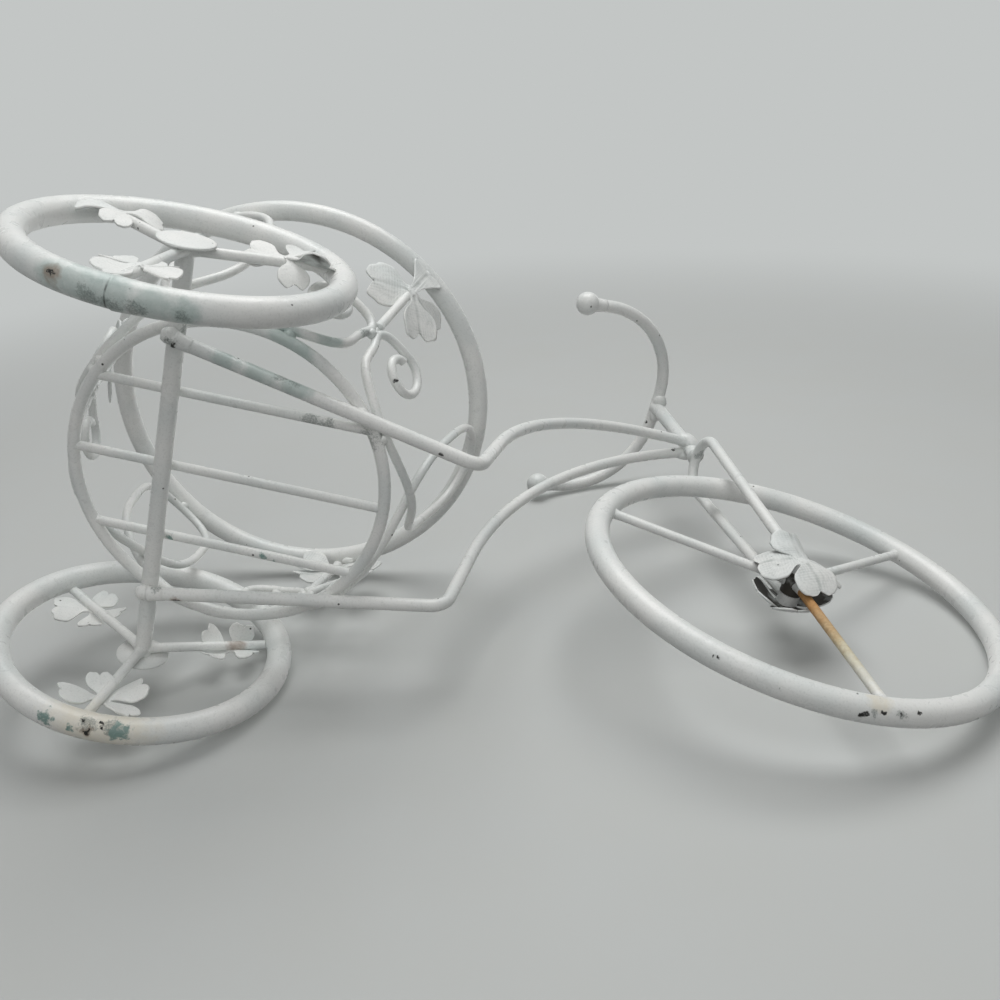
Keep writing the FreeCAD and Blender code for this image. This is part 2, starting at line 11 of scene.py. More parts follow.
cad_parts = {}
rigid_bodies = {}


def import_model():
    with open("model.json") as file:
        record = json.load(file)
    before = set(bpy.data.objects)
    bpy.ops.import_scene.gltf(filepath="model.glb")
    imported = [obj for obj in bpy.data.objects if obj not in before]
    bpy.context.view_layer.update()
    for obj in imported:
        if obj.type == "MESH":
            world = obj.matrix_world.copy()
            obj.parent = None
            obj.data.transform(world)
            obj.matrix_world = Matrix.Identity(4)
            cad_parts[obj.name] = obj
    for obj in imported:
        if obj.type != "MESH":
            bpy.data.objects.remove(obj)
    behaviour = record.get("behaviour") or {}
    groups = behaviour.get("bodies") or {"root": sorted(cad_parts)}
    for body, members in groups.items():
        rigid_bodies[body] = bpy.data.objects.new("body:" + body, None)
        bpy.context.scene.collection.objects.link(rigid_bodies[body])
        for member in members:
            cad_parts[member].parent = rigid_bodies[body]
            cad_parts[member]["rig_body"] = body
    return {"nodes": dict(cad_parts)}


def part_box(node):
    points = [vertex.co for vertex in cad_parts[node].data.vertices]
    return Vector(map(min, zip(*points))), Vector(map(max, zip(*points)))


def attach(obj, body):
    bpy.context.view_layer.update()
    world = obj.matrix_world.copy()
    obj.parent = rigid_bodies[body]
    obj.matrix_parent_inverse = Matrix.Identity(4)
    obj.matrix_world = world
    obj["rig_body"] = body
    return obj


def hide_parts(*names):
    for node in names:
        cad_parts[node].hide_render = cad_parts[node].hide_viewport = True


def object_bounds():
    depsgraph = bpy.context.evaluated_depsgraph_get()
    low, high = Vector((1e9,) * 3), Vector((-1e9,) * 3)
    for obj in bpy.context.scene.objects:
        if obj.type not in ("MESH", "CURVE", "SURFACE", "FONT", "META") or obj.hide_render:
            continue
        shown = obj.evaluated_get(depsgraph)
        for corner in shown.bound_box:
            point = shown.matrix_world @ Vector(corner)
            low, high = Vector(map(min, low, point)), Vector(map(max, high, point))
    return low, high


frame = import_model()
CAD_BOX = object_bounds()
CENTRE = (CAD_BOX[0] + CAD_BOX[1]) / 2
NODES = frame["nodes"]
MM = 0.001
SIDES = {"left": 1, "right": -1}

bl_info = {
    "name": "Tricycle plant stand",
    "version": (1, 0, 0),
    "blender": (4, 5, 0),
    "location": "View3D > Sidebar > Plant stand",
    "description": "Dresses the tricycle plant stand with pressed clovers, weld beads and worn enamel",
    "category": "Object",
}

# Kinds of pressed leaf: its width as a share of its reach, then half of its outline from the neck to the middle
# of the tip. Each step says where a vein leaves the midrib, and where it meets the edge along and across the leaf.
OUTLINES = {
    "lobed": (0.84, [(0.0, 0.0, 0.10), (0.088, 0.12, 0.09), (0.176, 0.25, 0.11), (0.255, 0.35, 0.20),
                     (0.326, 0.45, 0.31), (0.396, 0.57, 0.39), (0.466, 0.70, 0.415), (0.537, 0.82, 0.40),
                     (0.616, 0.93, 0.335), (0.695, 0.99, 0.245), (0.774, 1.0, 0.15), (0.836, 0.946, 0.055),
                     (0.88, 0.88, 0.002)]),
    "broad": (1.03, [(0.0, 0.0, 0.13), (0.088, 0.10, 0.13), (0.176, 0.20, 0.18), (0.255, 0.29, 0.28),
                     (0.326, 0.38, 0.36), (0.396, 0.49, 0.405), (0.466, 0.62, 0.415), (0.537, 0.75, 0.40),
                     (0.616, 0.88, 0.345), (0.695, 0.97, 0.26), (0.774, 1.0, 0.16), (0.836, 0.946, 0.055),
                     (0.88, 0.88, 0.002)]),
    "fan": (0.87, [(0.0, 0.0, 0.10), (0.12, 0.12, 0.10), (0.25, 0.26, 0.12), (0.38, 0.40, 0.16), (0.50, 0.54, 0.215),
                   (0.62, 0.68, 0.29), (0.74, 0.80, 0.36), (0.84, 0.90, 0.415), (0.90, 0.96, 0.40),
                   (0.95, 0.985, 0.30), (0.98, 0.995, 0.16), (1.0, 1.0, 0.002)]),
}
# Greatest half width in these outlines, and the mesh's steps from vein to vein and from the midrib to an edge.
HALF_WIDTH = 0.415
VEIN_STEPS = 4
LEAF_COLUMNS = 12
# Raggedness of the pressed edge as a share of the leaf, how far each leaf lies over the last, and the midrib's width.
LEAF_RAGGED = 0.06
LEAF_LAYER = 0.12 * MM
RIB_WIDTH = 0.6 * MM

# Seats of the clovers: from the hub along a rear spoke, down from the top ring, out from the basket's post, and out
# from the front wheel's middle plane.
SPOKE_SEAT = 43.5 * MM
BASKET_DROP = 27 * MM
BASKET_OUT = 2.4 * MM
FRONT_SEAT = 13 * MM
# Radii of the small discs at the clovers' middles.
WHEEL_DISC = 2.2 * MM
BASKET_DISC = 2.8 * MM
FRONT_DISC = 3 * MM

# Weld fillets: radius of the rod in mm, flare as a share of the bead, and length along the rod in mm.
FILLETS = {"hub": (2.4, 0.7, 4.5), "rim": (2.4, 0.4, 3.5), "post": (2.3, 0.35, 3), "rail": (3.2, 0.45, 6),
           "grip": (4, 0.9, 7), "stem": (4.5, 0.6, 6)}
# Round weld lumps where basket pieces touch: radius in mm.
LUMPS = {"scroll": 2.9, "rail": 3.3, "base_rod": 2.3, "meeting": 2.5}
# Unevenness of fillets and lumps, as a share of their own size.
FILLET_UNEVEN = 0.45
LUMP_UNEVEN = 0.16
# Radius of the top ring's tube, and thickness of a hub cap's sheet.
TOP_RING_RADIUS = 5.25 * MM
CAP_SHEET = 0.9 * MM

# Each leaf of a clover: kind, turn from the clover's own X, reach in mm, fold at the neck, further curl to the tip,
# roll about its own midrib, and cup of its side edges in mm. Angles in degrees; fold and curl lead inward. On the
# rear wheels every leaf is of the lobed kind.
WHEEL_LEAVES = {
    "rear_left_clover_1": [(43, 15.6, 7, 19, -12, 0.9), (152, 15.5, -17, 52, 15, 0.2), (213, 17.6, 6, 53, -2, 1.1),
                           (320, 16.2, 26, 53, 39, 0.9)],
    "rear_left_clover_2": [(67, 16.0, -2, 22, -1, 1.2), (140, 16.6, -20, 61, -10, 0.3),
                           (220, 14.5, -24, 50, 8, 0.6), (304, 19.9, 11, -10, -14, 1.7)],
    "rear_left_clover_3": [(60, 20.8, 29, -11, 9, 1.2), (148, 15.6, 28, -14, 4, -0.2), (223, 21.5, 2, 24, -14, 2.0),
                           (293, 19.9, 15, -14, -26, -1.4)],
    "rear_right_clover_1": [(51, 16.0, -8, 10, -6, 2.0), (149, 19.2, 9, -15, -28, -1.3),
                            (276, 17.2, 16, 36, -3, 0.3), (325, 21.1, -4, 1, -30, 1.7)],
    "rear_right_clover_2": [(58, 20.7, -14, 35, 4, 2.0), (129, 17.1, -17, 42, -12, -0.1),
                            (250, 18.7, -7, 44, 13, -0.3), (342, 15.5, 6, 40, 20, 0.6)],
    "rear_right_clover_3": [(67, 17.9, 0, -1, -1, 1.8), (154, 15.6, 14, -14, -6, 1.4), (243, 17.9, 15, -12, 5, 1.2),
                            (337, 19.6, 8, -13, -4, 1.2)],
}
TIE_LEAF = ("fan", 90, 23, -7.8, 4, 0, 0.6)
BASKET_LEAVES = {
    "left": [TIE_LEAF, ("broad", 195, 27, -19, 34, 4, -1.4), ("lobed", 7, 23.5, 28, -6, -15, -1.2),
             ("lobed", 319, 24.5, 2, 22, -12, 1.3)],
    "rear": [TIE_LEAF, ("broad", 208, 25, 6, 12, -8, -1.2), ("lobed", 2, 25, 15, 4, -4, 1.2),
             ("lobed", 322, 26, 4, 16, -4, 1.5)],
    "right": [TIE_LEAF, ("broad", 212, 24.6, 13, 6, -13, -1.2), ("lobed", 7, 26, 13, 10, 1, 1.5),
              ("lobed", 319, 27.5, 8, 12, 1, 1.5)],
}
FRONT_LEAVES = [("broad", 0, 22.2, -8, -10, 12, -4.9), ("broad", 78, 24.5, 1, 40, -4, -2.9),
                ("broad", 192, 22.6, -2, 49, 9, -1.2), ("lobed", 264, 24, 0, 42, -8, -2.5)]

# Places on the stand where the enamel is marked, by kind: point in metres, then radius in mm.
MARKS = {
    "wash": [(-0.2015, -0.1013, 0.0051, 13), (-0.1915, -0.1022, 0.0023, 17), (-0.1800, -0.1005, 0.0004, 19),
             (-0.1635, -0.0998, 0.0009, 15), (-0.1526, -0.0984, 0.0037, 11), (-0.1340, -0.0595, 0.0656, 14),
             (-0.1187, -0.0570, 0.0665, 12), (-0.1503, -0.0618, 0.0645, 10), (-0.1292, -0.0739, 0.0756, 14),
             (-0.1210, -0.0705, 0.0750, 10), (-0.1111, -0.0751, 0.0884, 12)],
    # Most stains are dirt on the enamel; the mark at the left rail's joint with the rear axle paints the shade in
    # that joint.
    "stain_and_joint_shade": [(-0.1860, -0.0975, 0.0015, 9), (-0.1780, -0.0965, 0.0010, 8), (-0.1690, -0.0975, 0.0006, 8),
              (-0.1526, -0.0984, 0.0037, 6), (-0.1260, -0.0600, 0.0665, 6), (-0.1200, -0.0588, 0.0670, 5),
              (-0.1116, -0.0391, 0.0751, 9), (-0.1037, -0.0387, 0.0750, 8), (-0.0840, -0.0376, 0.0765, 11),
              (-0.0981, -0.0741, 0.1093, 6), (-0.1710, -0.0675, 0.0736, 6), (-0.1734, -0.0639, 0.0636, 5),
              (0.1045, -0.0033, 0.2509, 6), (-0.1688, 0.0611, 0.0666, 5), (-0.1740, 0.0955, 0.0022, 8),
              (-0.1640, 0.0950, 0.0030, 7), (0.1500, -0.0020, 0.0010, 4), (0.1621, -0.0030, 0.0033, 5)],
    "teal": [(-0.1927, 0.0974, 0.0028, 7), (-0.1599, 0.0962, 0.0029, 8), (-0.1809, 0.0989, 0.0003, 4),
             (-0.1691, 0.0387, 0.0781, 4), (-0.1225, 0.0367, 0.0757, 4), (-0.1166, 0.0376, 0.0760, 3)],
    "cream": [(-0.1693, 0.0944, 0.0038, 38), (0.1518, -0.0060, 0.0053, 9)],
    "chip": [(-0.1766, 0.0952, 0.0022, 2.2), (-0.1739, 0.0980, 0.0003, 2.8), (-0.1681, 0.0948, 0.0032, 2.4),
             (0.1449, 0.0, 0.0002, 3.2), (0.1538, -0.0029, 0.0018, 2.8), (0.1621, -0.0030, 0.0033, 2.2),
             (0.1706, -0.0038, 0.0061, 2.0), (0.0790, -0.0056, 0.0217, 2.4), (0.0835, -0.0028, 0.0154, 2.0),
             (0.1095, -0.0022, 0.0043, 1.8), (-0.1729, -0.0641, 0.0636, 2.6), (0.0169, -0.0660, 0.2982, 1.6),
             (0.0805, 0.0114, 0.3331, 3), (0.0897, 0.0017, 0.2637, 3), (-0.0494, -0.0399, 0.0688, 2.6),
             (-0.0793, -0.0571, 0.1052, 2.4), (-0.2015, -0.1013, 0.0051, 3.0), (-0.1594, 0.0641, 0.0643, 3)],
    "rust": [(-0.2015, -0.1013, 0.0051, 7), (-0.1323, 0.1028, 0.0910, 8), (-0.1594, 0.0641, 0.0643, 4),
             (-0.1739, 0.0980, 0.0003, 3.5)],
}
# Butt joint of the right rear rim: a point on its line and the direction of the tube there.
SEAM = Vector((-0.1796, -0.1000, 0.0064))
SEAM_WAY = Vector((0.998, 0.0, -0.0628))
# One tube end stands proud there, by a rise that dies out over this length.
SEAM_LENGTH = 15 * MM
SEAM_RISE = 0.45 * MM

# Plane that the stand lies against on its left side: its upward direction, and how far the origin is above it.
LYING_UP = Vector((-0.277, -0.961, 0.021)).normalized()
LYING_AWAY = 71.6 * MM
# Half the side of a floor, and where it starts and ends to fade into the background, in metres from its middle.
FLOOR_HALF = 3
FLOOR_FADE = (0.45, 1.1)
# Lamps: name, direction from the stand's middle, side of the lamp in metres, and power in watts. All are equally far
# away, in metres, and the background gives even soft light besides.
LAMPS = [("key", Vector((-0.25, -0.85, 0.3)), 1.0, 12.0), ("front", Vector((-0.15, -0.6, -0.8)), 1.0, 5.0),
         ("fill", Vector((0.25, 0.45, 0.85)), 1.2, 11.0)]
LAMP_AWAY = 1.25
SOFT_LIGHT = 0.18
# The photograph's camera, set beside the upright stand: its place, its right and its line of sight.
CAMERA_AT = Vector((-0.04282, -0.22782, -0.36435))
CAMERA_RIGHT = Vector((0.9715, -0.2304, 0.0556)).normalized()
CAMERA_LOOK = Vector((0.0483, 0.4223, 0.9052)).normalized()
CAMERA_SENSOR = 36


def linear(code):
    """Linear RGBA of an sRGB hex colour."""
    shares = [int(code[i:i + 2], 16) / 255 for i in (1, 3, 5)]
    return [s / 12.92 if s <= 0.04045 else ((s + 0.055) / 1.055) ** 2.4 for s in shares] + [1.0]


class StandSizes(bpy.types.PropertyGroup):
    """Sizes of the pressed and welded detail."""

    sheet: FloatProperty(name="Sheet", description="Thickness of the pressed clover sheet",
                         default=0.9 * MM, unit="LENGTH", precision=4)
    vein_spacing: FloatProperty(name="Vein spacing", description="Distance between the pressed veins",
                                default=2.2 * MM, unit="LENGTH", precision=4)
    vein_height: FloatProperty(name="Vein height", description="Height of the pressed veins",
                               default=0.3 * MM, unit="LENGTH", precision=4)
    bead: FloatProperty(name="Weld bead", description="How far a weld bead stands out from its rod",
                        default=1.5 * MM, unit="LENGTH", precision=4)
    cap_dome: FloatProperty(name="Cap dome", description="Rise of a hub cap's middle over its edge",
                            default=1.1 * MM, unit="LENGTH", precision=4)
    camera_lens: FloatProperty(name="Lens", description="Focal length of the camera in millimetres",
                               default=37.76)


def swatch(name, description, code):
    """A colour that a user may change, with its default as an sRGB hex value."""
    return FloatVectorProperty(name=name, description=description, subtype="COLOR", size=4, default=linear(code))


class StandColours(bpy.types.PropertyGroup):
    """Colours of the enamel, the steel under it and the stage."""

    enamel: swatch("Enamel", "White enamel where it is clean", "#E6E7E4")
    enamel_cool: swatch("Thin enamel", "White enamel where it is thin and cold", "#D5DAD8")
    enamel_cream: swatch("Yellowed enamel", "Enamel that has yellowed", "#DDD5C0")
    teal: swatch("Old paint", "Blue-green paint under the white", "#76918B")
    wash: swatch("Wash", "Blue-green bloom in the enamel", "#A0B3AE")
    stain_and_joint_shade: swatch("Stain and joint shade", "Grey-green stain on the enamel", "#66706C")
    chip: swatch("Chip", "Dark steel in a chip of the enamel", "#2A2A28")
    rust: swatch("Rust", "Rust where the enamel is gone", "#7A5430")
    rust_pale: swatch("Rust bloom", "Pale rust that stains worn enamel", "#CFC7A6")
    rust_warm: swatch("Fresh rust", "Orange rust near the front hub", "#B98B57")
    # The dark back colour is also painted shade: kept near black for the shade inside the front hub's closed shell
    # and in the right wheel's curled leaves.
    dark_back_and_shade: swatch("Bare sheet and shade", "Dull back of the pressed sheet", "#3F3C36")
    steel: swatch("Steel", "Bare steel of the wheel pin", "#A9A8A0")
    floor: swatch("Floor", "Pale floor", "#C2C4C1")
    backdrop: swatch("Backdrop", "Pale background behind the floor", "#C3C6C5")


def add(tree, kind, sockets=(), **settings):
    """Adds a shader node with its settings, and fills its sockets with values or links."""
    node = tree.nodes.new("ShaderNode" + kind)
    for name, value in settings.items():
        setattr(node, name, value)
    for name, value in dict(sockets).items():
        if isinstance(value, bpy.types.NodeSocket):
            tree.links.new(value, node.inputs[name])
        else:
            node.inputs[name].default_value = value
    return node


def new_finish(name):
    """A material of that name, its node tree, and the place on the piece that its patterns hang on."""
    material = bpy.data.materials.new(name)
    material.use_nodes = True
    tree = material.node_tree
    return material, tree, add(tree, "TexCoord").outputs["Object"]


def covered(material, colour, gloss, normal):
    """The material, with its colour, gloss and relief linked to its shader."""
    tree = material.node_tree
    for name, socket in (("Base Color", colour), ("Roughness", gloss), ("Normal", normal)):
        tree.links.new(socket, tree.nodes["Principled BSDF"].inputs[name])
    return material


def enamel_layers(tree, place, colours):
    """Colour of brushed white enamel before its wear: clouds where it is thin, dust and pin-point specks."""
    cloud = add(tree, "TexNoise", {"Vector": place, "Scale": 1 / (35 * MM), "Detail": 3}).outputs[0]
    thin = add(tree, "MapRange", {"Value": cloud, "From Min": 0.42, "From Max": 0.72}).outputs[0]
    colour = add(tree, "Mix", {0: thin, 6: colours.enamel, 7: colours.enamel_cool},
                 data_type="RGBA").outputs[2]
    dust = add(tree, "TexNoise", {"Vector": place, "Scale": 1 / (0.9 * MM), "Detail": 4}).outputs[0]
    dusty = add(tree, "MapRange", {"Value": dust, "From Min": 0.52, "From Max": 0.8, "To Max": 0.2}).outputs[0]
    colour = add(tree, "Mix", {0: dusty, 6: colour, 7: colours.stain_and_joint_shade}, data_type="RGBA").outputs[2]
    cells = add(tree, "TexVoronoi", {"Vector": place, "Scale": 1 / (9 * MM)})
    speck = add(tree, "MapRange", {"Value": cells.outputs["Distance"], "From Min": 0.075, "From Max": 0.045})
    few = add(tree, "SeparateColor", {0: cells.outputs["Color"]}).outputs[0]
    kept = add(tree, "Math", {0: few, 1: 0.62}, operation="GREATER_THAN").outputs[0]
    specks = add(tree, "Math", {0: speck.outputs[0], 1: kept}, operation="MULTIPLY").outputs[0]
    return add(tree, "Mix", {0: specks, 6: colour, 7: colours.chip}, data_type="RGBA").outputs[2]


def rod_enamel(colours):
    """White oil enamel brushed over steel rod and tube."""
    # The eye sees soft brush waves in a half gloss, cooler where the coat is thin, with stains, chips and rust
    # gathered where the stand was set down and where the rods were welded, and painted shade at the left rail's joint
    # with the rear axle.
    material, tree, place = new_finish("brushed white enamel on steel rod")
    colour = enamel_layers(tree, place, colours)
    ragged = add(tree, "TexNoise", {"Vector": place, "Scale": 1 / (5 * MM), "Detail": 5})
    shift = add(tree, "VectorMath", {0: ragged.outputs["Color"], 1: (0.5, 0.5, 0.5)},
                operation="SUBTRACT").outputs[0]
    shift = add(tree, "VectorMath", {0: shift, "Scale": 8 * MM}, operation="SCALE").outputs[0]
    torn = add(tree, "VectorMath", {0: place, 1: shift}, operation="ADD").outputs[0]
    wear = None
    # How far each kind covers the white, the size in mm of the flecks that break it up, how much its place counts
    # against the flecks, and the sum of both at which it covers fully.
    paints = {"cream": (colours.enamel_cream, 0.6, 6, 1.0, 1.56), "wash": (colours.wash, 0.7, 9, 1.0, 1.56),
              "stain_and_joint_shade": (colours.stain_and_joint_shade, 0.7, 0.8, 0.55, 1.12), "teal": (colours.teal, 0.95, 2.9, 0.52, 1.0),
              "rust": (colours.rust, 0.6, 3, 1.0, 1.56), "chip": (colours.chip, 1.0, 1.3, 0.52, 1.0)}
    for kind, (paint, cover, fleck, weight, full) in paints.items():
        mask = None
        for *point, radius in MARKS[kind]:
            away = add(tree, "VectorMath", {0: torn, 1: point}, operation="DISTANCE").outputs["Value"]
            spot = add(tree, "MapRange", {"Value": away, "From Min": radius * MM,
                                          "From Max": radius * 0.35 * MM}).outputs[0]
            mask = spot if mask is None else add(tree, "Math", {0: mask, 1: spot}, operation="MAXIMUM").outputs[0]
        flecks = add(tree, "TexNoise", {"Vector": place, "Scale": 1 / (fleck * MM), "Detail": 6,
                                        "Roughness": 0.7}).outputs[0]
        mask = add(tree, "Math", {0: mask, 1: weight, 2: flecks}, operation="MULTIPLY_ADD").outputs[0]
        mask = add(tree, "MapRange", {"Value": mask, "From Min": 0.86, "From Max": full, "To Max": cover}).outputs[0]
        colour = add(tree, "Mix", {0: mask, 6: colour, 7: paint}, data_type="RGBA").outputs[2]
        if kind in ("rust", "chip"):
            wear = mask if wear is None else add(tree, "Math", {0: wear, 1: mask}, operation="MAXIMUM").outputs[0]
    off = add(tree, "VectorMath", {0: place, 1: SEAM}, operation="SUBTRACT").outputs[0]
    off = add(tree, "VectorMath", {0: off, 1: SEAM_WAY}, operation="DOT_PRODUCT").outputs["Value"]
    off = add(tree, "Math", {0: off}, operation="ABSOLUTE").outputs[0]
    line = add(tree, "MapRange", {"Value": off, "From Min": 0.55 * MM, "From Max": 0.15 * MM,
                                  "To Max": 0.8}).outputs[0]
    near = add(tree, "VectorMath", {0: place, 1: SEAM}, operation="DISTANCE").outputs["Value"]
    near = add(tree, "Math", {0: near, 1: 9 * MM}, operation="LESS_THAN").outputs[0]
    line = add(tree, "Math", {0: line, 1: near}, operation="MULTIPLY").outputs[0]
    gaps = add(tree, "MapRange", {"Value": ragged.outputs[0], "From Min": 0.38, "From Max": 0.58}).outputs[0]
    line = add(tree, "Math", {0: line, 1: gaps}, operation="MULTIPLY").outputs[0]
    colour = add(tree, "Mix", {0: line, 6: colour, 7: colours.chip}, data_type="RGBA").outputs[2]
    waves = add(tree, "TexNoise", {"Vector": place, "Scale": 1 / (6 * MM), "Detail": 2}).outputs[0]
    grain = add(tree, "TexNoise", {"Vector": place, "Scale": 1 / (1.2 * MM), "Detail": 2}).outputs[0]
    gloss = add(tree, "MapRange", {"Value": waves, "From Min": 0.3, "From Max": 0.7, "To Min": 0.24,
                                   "To Max": 0.42}).outputs[0]
    gloss = add(tree, "Math", {0: wear, 1: 0.35, 2: gloss}, operation="MULTIPLY_ADD").outputs[0]
    brushed = add(tree, "Bump", {"Height": waves, "Strength": 0.5, "Distance": 0.5 * MM}).outputs[0]
    normal = add(tree, "Bump", {"Height": grain, "Strength": 0.35, "Distance": 0.2 * MM,
                                "Normal": brushed}).outputs[0]
    normal = add(tree, "Bump", {"Height": wear, "Strength": 0.6, "Distance": 0.15 * MM, "Normal": normal},
                 invert=True).outputs[0]
    return covered(material, colour, gloss, normal)


def sheet_enamel(colours):
    """White enamel over pressed thin sheet."""
    # The eye sees a thinner and duller coat than on the rods, with grime lying in the pressed veins.
    material, tree, place = new_finish("white enamel on pressed sheet")
    colour = enamel_layers(tree, place, colours)
    low = add(tree, "Attribute", attribute_name="groove").outputs["Fac"]
    dirt = add(tree, "TexNoise", {"Vector": place, "Scale": 1 / (7 * MM), "Detail": 4}).outputs[0]
    dirty = add(tree, "MapRange", {"Value": dirt, "From Min": 0.35, "From Max": 0.7, "To Min": 0.12,
                                   "To Max": 0.6}).outputs[0]
    grime = add(tree, "Math", {0: low, 1: dirty}, operation="MULTIPLY").outputs[0]
    colour = add(tree, "Mix", {0: grime, 6: colour, 7: colours.stain_and_joint_shade}, data_type="RGBA").outputs[2]
    grain = add(tree, "TexNoise", {"Vector": place, "Scale": 1 / (1.4 * MM), "Detail": 3}).outputs[0]
    gloss = add(tree, "MapRange", {"Value": dirt, "To Min": 0.45, "To Max": 0.65}).outputs[0]
    normal = add(tree, "Bump", {"Height": grain, "Strength": 0.35, "Distance": 0.2 * MM}).outputs[0]
    return covered(material, colour, gloss, normal)


def sheet_back_and_shade(colours, name, start):
    """Back of the pressed sheet, with overspray of the enamel that is heavier the lower it starts; its dark is partly
    bare steel and partly painted shade.
    """
    # The eye sees dull dark steel, broken by grey-white clouds.
    material, tree, place = new_finish(name)
    spray = add(tree, "TexNoise", {"Vector": place, "Scale": 1 / (9 * MM), "Detail": 5}).outputs[0]
    share = add(tree, "MapRange", {"Value": spray, "From Min": start, "From Max": start + 0.26}).outputs[0]
    colour = add(tree, "Mix", {0: share, 6: colours.dark_back_and_shade, 7: colours.enamel_cool},
                 data_type="RGBA").outputs[2]
    gloss = add(tree, "MapRange", {"Value": spray, "To Min": 0.5, "To Max": 0.75}).outputs[0]
    normal = add(tree, "Bump", {"Height": spray, "Strength": 0.3, "Distance": 0.2 * MM}).outputs[0]
    return covered(material, colour, gloss, normal)


def rusted_enamel(colours, hub):
    """Enamel worn to rust along one spoke."""
    # The eye sees orange and tan with darker pits by the hub, and white again towards the rim.
    material, tree, place = new_finish("enamel worn to rust")
    white = enamel_layers(tree, place, colours)
    blotch = add(tree, "TexNoise", {"Vector": place, "Scale": 1 / (8 * MM), "Detail": 5}).outputs[0]
    pits = add(tree, "TexNoise", {"Vector": place, "Scale": 1 / (1.5 * MM), "Detail": 4}).outputs[0]
    away = add(tree, "VectorMath", {0: place, 1: hub}, operation="DISTANCE").outputs["Value"]
    away = add(tree, "Math", {0: blotch, 1: 40 * MM, 2: away}, operation="MULTIPLY_ADD").outputs[0]
    rusty = add(tree, "MapRange", {"Value": away, "From Min": 118 * MM, "From Max": 74 * MM}).outputs[0]
    fresh = add(tree, "MapRange", {"Value": away, "From Min": 84 * MM, "From Max": 46 * MM}).outputs[0]
    deep = add(tree, "MapRange", {"Value": pits, "From Min": 0.35, "From Max": 0.75, "To Max": 0.35}).outputs[0]
    bloom = add(tree, "Mix", {0: fresh, 6: colours.rust_pale, 7: colours.rust_warm}, data_type="RGBA").outputs[2]
    bloom = add(tree, "Mix", {0: deep, 6: bloom, 7: colours.rust}, data_type="RGBA").outputs[2]
    colour = add(tree, "Mix", {0: rusty, 6: white, 7: bloom}, data_type="RGBA").outputs[2]
    gloss = add(tree, "MapRange", {"Value": rusty, "To Min": 0.42, "To Max": 0.8}).outputs[0]
    normal = add(tree, "Bump", {"Height": pits, "Strength": 0.6, "Distance": 0.25 * MM}).outputs[0]
    return covered(material, colour, gloss, normal)


def turned_steel(colours):
    """Mild steel pin, turned and oiled."""
    # The eye sees fine rings round its length and a dull shine.
    material, tree, place = new_finish("turned mild steel")
    tree.nodes["Principled BSDF"].inputs["Metallic"].default_value = 1.0
    # Tool marks are about 0.1 mm apart on the real pin, and are drawn 0.6 mm apart so that they show.
    rings = add(tree, "TexWave", {"Vector": place, "Scale": 1 / (6 * 0.6 * MM), "Distortion": 1.5},
                bands_direction="Y").outputs["Fac"]
    oil = add(tree, "TexNoise", {"Vector": place, "Scale": 1 / (3 * MM), "Detail": 3}).outputs[0]
    colour = add(tree, "Mix", {0: oil, 6: colours.steel, 7: colours.chip}, data_type="RGBA").outputs[2]
    gloss = add(tree, "MapRange", {"Value": oil, "To Min": 0.3, "To Max": 0.55}).outputs[0]
    normal = add(tree, "Bump", {"Height": rings, "Strength": 0.3, "Distance": 0.05 * MM}).outputs[0]
    return covered(material, colour, gloss, normal)


FINISHES = {}


def finish_of(name):
    """The material of that name, made when it is first asked for."""
    colours = bpy.context.scene.stand_colours
    makers = {"rod": lambda: rod_enamel(colours), "sheet": lambda: sheet_enamel(colours),
              # On the right wheel's clover backs the dark patches between the overspray are partly painted shade in
              # the curled leaves. The bare back is darker still, and on the front hub and the front clovers' backs it
              # paints the shade inside the closed shell.
              "dark_back_and_shade": lambda: sheet_back_and_shade(colours, "oversprayed back of pressed sheet and painted shade", 0.29),
              "inside": lambda: sheet_back_and_shade(colours, "bare back of pressed sheet and painted hub shade", 0.55),
              "pin": lambda: turned_steel(colours),
              "rusted": lambda: rusted_enamel(colours, middle("front_rim"))}
    if name not in FINISHES:
        FINISHES[name] = makers[name]()
    return FINISHES[name]


def middle(node):
    """Middle of a CAD node's box."""
    low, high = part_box(node)
    return (low + high) / 2


def rod_ends(node):
    """The two end points of a straight CAD rod, on its centre line."""
    points = [v.co for v in NODES[node].data.vertices]
    centre = sum(points, Vector()) / len(points)
    far = max(points, key=lambda p: (p - centre).length)
    along = (far - centre).normalized()
    reach = [(p - centre).dot(along) for p in points]
    ends = []
    for limit in (min(reach), max(reach)):
        ring = [p for p, r in zip(points, reach) if abs(r - limit) < 1.2 * MM]
        ends.append(sum(ring, Vector()) / len(ring))
    return ends


def contacts(node, other, within=0.8 * MM, apart=9 * MM):
    """Places where the bent rod of one CAD node touches another, one point for each."""
    mesh = NODES[other].data
    tree = BVHTree.FromPolygons([v.co for v in mesh.vertices], [p.vertices for p in mesh.polygons])
    groups = []
    for vertex in NODES[node].data.vertices:
        near = tree.find_nearest(vertex.co, within)[0]
        if near is None:
            continue
        group = next((g for g in groups if (g[0] - near).length < apart), None)
        if group is None:
            groups.append([near])
        else:
            group.append(near)
    return [sum(g, Vector()) / len(g) for g in groups]


def piece(name, points, faces, body, slot, finishes, kinds=None, grooves=None):
    """Makes a smooth mesh piece that rides on a body, with its finishes; its slot is not used."""
    mesh = bpy.data.meshes.new(name)
    mesh.from_pydata(points, [], faces)
    for finish in finishes:
        mesh.materials.append(finish_of(finish))
    mesh.shade_smooth()
    if kinds:
        mesh.polygons.foreach_set("material_index", kinds)
    if grooves:
        mesh.attributes.new("groove", "FLOAT", "POINT").data.foreach_set("value", grooves)
    mesh.validate()
    made = bpy.data.objects.new(name, mesh)
    bpy.context.scene.collection.objects.link(made)
    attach(made, body)
    return made


